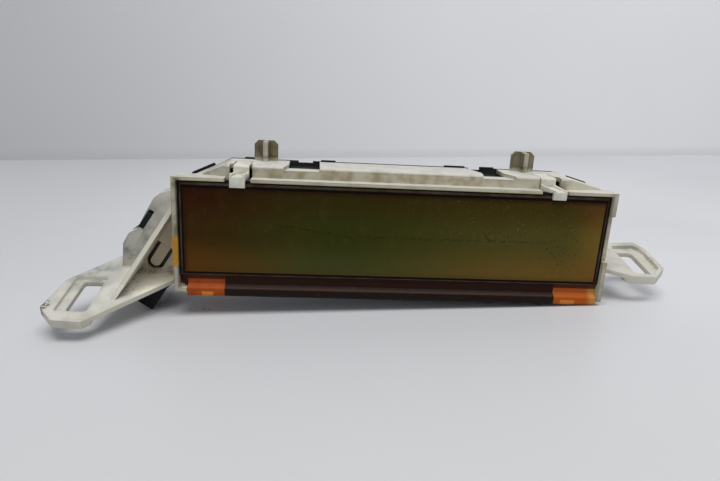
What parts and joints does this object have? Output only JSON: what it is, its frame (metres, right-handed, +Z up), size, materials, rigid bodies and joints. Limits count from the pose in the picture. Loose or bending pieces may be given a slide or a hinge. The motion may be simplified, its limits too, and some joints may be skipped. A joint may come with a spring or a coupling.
{
  "type": "dashboard display module",
  "caption": "Wide LCD module for a vehicle dashboard: moulded frame with raised deck, glass clips, two slotted mounting ears, amber flex circuit, harness socket and latched rear cover.",
  "frame": {"origin": "centre of the display's front face (front of the front polariser)", "axes": "+X to the viewer's right, +Y away from the viewer to the module's rear, +Z up"},
  "size_m": [0.2306, 0.051, 0.0644],
  "materials": {
    "housing_plastic": "fine moulded texture, slightly yellowed",
    "clip_plastic": "smooth moulded",
    "cover_plastic": "fine moulded texture",
    "connector_plastic": "satin",
    "polariser_film": "glossy dark olive film",
    "display_glass": "polished",
    "seal_rubber": "matte",
    "amber_film": "glossy amber film with dark printed tracks",
    "amber_tape": "glossy translucent tape",
    "diffuser_film": "translucent white",
    "clear_plastic": "clear polished",
    "reflector_film": "silvery white",
    "board_laminate": "black solder mask",
    "chip_plastic": "matte moulded",
    "led_plastic": "glossy",
    "can_metal": "satin",
    "contact_metal": "plated",
    "screw_steel": "zinc plated"
  },
  "bodies": {
    "module": {"front_housing": "housing_plastic", "front_polariser": "polariser_film", "front_glass": "display_glass", "rear_glass": "display_glass", "rear_polariser": "polariser_film", "glass_seal": "seal_rubber", "flex_circuit": "amber_film", "insulating_tape": "amber_tape", "diffuser_sheet": "diffuser_film", "amber_filter": "amber_film", "light_guide": "clear_plastic", "reflector_sheet": "reflector_film", "light_box": "housing_plastic", "light_board": "board_laminate", "light_board_leds": "led_plastic", "light_board_pins": "contact_metal", "main_board": "board_laminate", "microcontroller": "chip_plastic", "display_driver": "chip_plastic", "memory_chip": "chip_plastic", "voltage_regulator": "chip_plastic", "crystal": "can_metal", "capacitors": "can_metal", "power_inductor": "chip_plastic", "board_screws": "screw_steel", "connector_housing": "connector_plastic", "connector_pins": "contact_metal", "rear_cover": "cover_plastic"},
    "left_clip": {"glass_clip_left": "clip_plastic"},
    "right_clip": {"glass_clip_right": "clip_plastic"},
    "latch": {"latch_tongue": "housing_plastic"}
  },
  "joints": [
    {"name": "left_clip_flex", "type": "hinge", "parent": "module", "child": "left_clip", "pos_m": [-0.05645, 0.013, 0.0226], "axis": [-1, 0, 0], "range_deg": [0, 10], "stiffness_Nm_per_rad": 0.5},
    {"name": "right_clip_flex", "type": "hinge", "parent": "module", "child": "right_clip", "pos_m": [0.0546, 0.013, 0.0226], "axis": [-1, 0, 0], "range_deg": [0, 10], "stiffness_Nm_per_rad": 0.5},
    {"name": "latch_flex", "type": "hinge", "parent": "module", "child": "latch", "pos_m": [-0.08633, 0.0151, -0.01024], "axis": [-0.848, 0, 0.5299], "range_deg": [0, 8], "stiffness_Nm_per_rad": 0.4}
  ]
}
